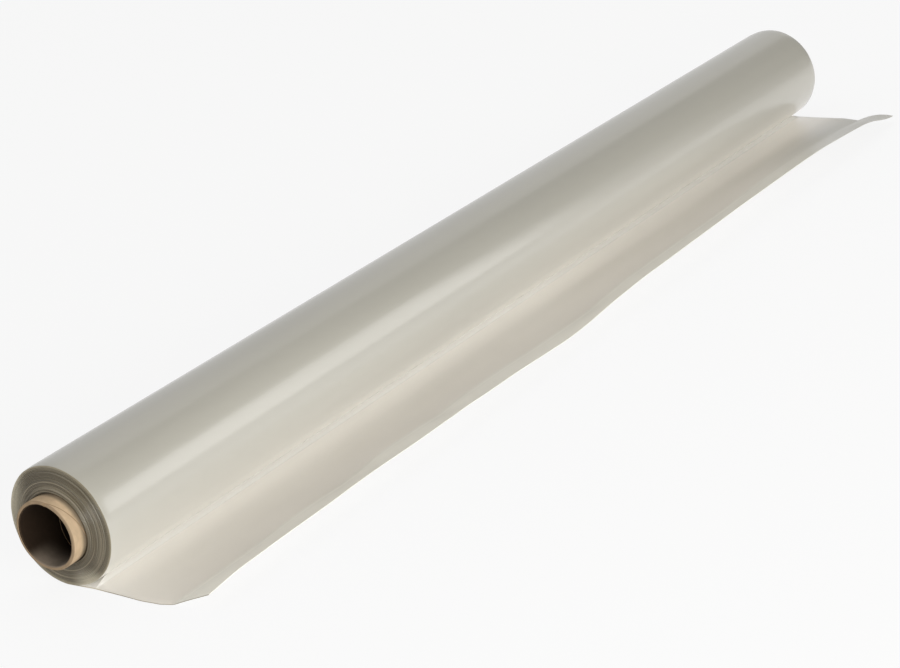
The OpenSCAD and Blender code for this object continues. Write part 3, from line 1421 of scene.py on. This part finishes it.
@dataclass(frozen=True)
class FloorFinish:
    """The plain pale floor, which keeps the object's shadow."""

    colour: Colour = (0.86, 0.86, 0.85)
    # Share of plain white that the camera and the reflections see in it
    white_share: float = 0.86

    def build(self) -> bpy.types.Material:
        """Builds the material, which looks nearly white to the camera and in reflections."""
        material = bpy.data.materials.new("pale_floor")
        material.use_nodes = True
        tree = material.node_tree
        tree.nodes.clear()
        sketch = NodeSketch(tree)
        path = sketch.add("ShaderNodeLightPath")
        seen = sketch.number(path.outputs["Is Camera Ray"]).step("MAXIMUM", path.outputs["Is Glossy Ray"])
        seen = seen.step("MAXIMUM", path.outputs["Is Transmission Ray"]) * self.white_share
        lit = sketch.add("ShaderNodeBsdfDiffuse", {"Color": opaque(self.colour)})
        white = sketch.add("ShaderNodeEmission", {"Color": opaque((1.0, 1.0, 1.0)), "Strength": 1.0})
        mixed = sketch.add("ShaderNodeMixShader", {0: seen, 1: lit.outputs[0], 2: white.outputs[0]})
        sketch.add("ShaderNodeOutputMaterial", {"Surface": mixed.outputs[0]})
        return material


@dataclass(frozen=True)
class Softbox:
    """A rectangular lamp that faces a point of the roll."""

    name: str
    place: Place
    aim: Place
    size: tuple[float, float]
    watts: float

    def build(self) -> None:
        """Adds the lamp to the scene."""
        lamp = bpy.data.lights.new(self.name, "AREA")
        lamp.shape = "RECTANGLE"
        lamp.size, lamp.size_y = self.size
        lamp.energy = self.watts
        holder = bpy.data.objects.new(self.name, lamp)
        bpy.context.scene.collection.objects.link(holder)
        holder.location = self.place
        aim = Vector(self.aim) - Vector(self.place)
        holder.rotation_euler = aim.to_track_quat("-Z", "Y").to_euler()


@dataclass
class Studio:
    """The floor, the light and the camera."""

    floor_half: float = 14.0
    # Greys of the dark side of the room, in front of the roll, and of the pale side behind and over it
    room_front: float = 0.24
    room_back: float = 0.82
    # Y of the directions over which the dark side passes into the pale one
    room_span: Span = (0.02, 0.14)
    # Grey that the camera sees past the floor
    backdrop: float = 0.93
    softboxes: tuple[Softbox, ...] = (
        Softbox("front_softbox", (-1.6, -2.3, 0.67), (-0.7, 0.0, 0.05), (2.0, 1.1), 59.0),
        Softbox("side_softbox", (1.60, -2.20, 0.72), (-0.5, 0.0, 0.05), (1.5, 1.1), 15.0),
    )
    camera_place: Place = (-1.8463, -1.3080, 0.8131)
    # Angles in degrees
    heading: float = 36.41
    elevation: float = -20.23
    camera_roll: float = -8.44
    focal_pixels: float = 2554.0
    image_w: float = 900.0
    sensor_w: float = 36.0
    # Distance up to which the camera sees
    clip_end: float = 60.0

    def build(self) -> None:
        """Builds the floor, the world, the lamps and the camera."""
        self.build_floor()
        self.build_world()
        for softbox in self.softboxes:
            softbox.build()
        self.build_camera()
        bpy.context.scene.view_settings.view_transform = "Standard"

    def build_floor(self) -> None:
        """Lays the floor under the roll."""
        half = self.floor_half
        mesh = bpy.data.meshes.new("floor")
        corners = [(-half, -half, 0.0), (half, -half, 0.0), (half, half, 0.0), (-half, half, 0.0)]
        mesh.from_pydata(corners, [], [(0, 1, 2, 3)])
        mesh.materials.append(FloorFinish().build())
        new_piece("floor", mesh)

    def build_world(self) -> None:
        """Gives the room its soft light, which comes from over the roll and from behind it."""
        world = bpy.data.worlds.new("room")
        world.use_nodes = True
        sketch = NodeSketch(world.node_tree)
        direction = sketch.add("ShaderNodeTexCoord").outputs["Generated"]
        toward = sketch.add("ShaderNodeSeparateXYZ", {0: direction})
        behind = sketch.number(toward.outputs[1]).eased(*self.room_span)
        room = behind * (self.room_back - self.room_front) + self.room_front
        seen = sketch.number(sketch.add("ShaderNodeLightPath").outputs["Is Camera Ray"])
        grey = room + (room * -1.0 + self.backdrop) * seen
        background = world.node_tree.nodes["Background"]
        sketch.join(grey, background.inputs["Color"])
        bpy.context.scene.world = world

    def build_camera(self) -> None:
        """Sets the camera up at the photograph's viewing angle."""
        camera = bpy.data.cameras.new("camera")
        camera.sensor_fit = "HORIZONTAL"
        camera.sensor_width = self.sensor_w
        camera.lens = self.focal_pixels / self.image_w * self.sensor_w
        camera.clip_end = self.clip_end
        holder = bpy.data.objects.new("camera", camera)
        bpy.context.scene.collection.objects.link(holder)
        level = Matrix.Rotation(math.radians(self.heading - 90.0), 4, "Z")
        tilt = Matrix.Rotation(math.radians(90.0 + self.elevation), 4, "X")
        turn = Matrix.Rotation(math.radians(self.camera_roll), 4, "Z")
        holder.matrix_world = Matrix.Translation(self.camera_place) @ level @ tilt @ turn
        bpy.context.scene.camera = holder


def main() -> None:
    """Builds the studio, the materials and the two pieces."""
    logging.basicConfig(level=logging.INFO, format="%(name)s: %(message)s")
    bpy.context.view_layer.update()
    Studio().build()
    sizes = RollSizes.from_frame()
    group = make_uneven_group()
    tube = CoreTube(sizes).build(CardboardFinish().build(group, sizes))
    log.info("%s has %d faces", tube.name, len(tube.data.polygons))
    sheeting = Sheeting(sizes).build(FilmFinish().build(group, sizes))
    log.info("%s has %d faces", sheeting.name, len(sheeting.data.polygons))


if __name__ == "__main__":
    main()
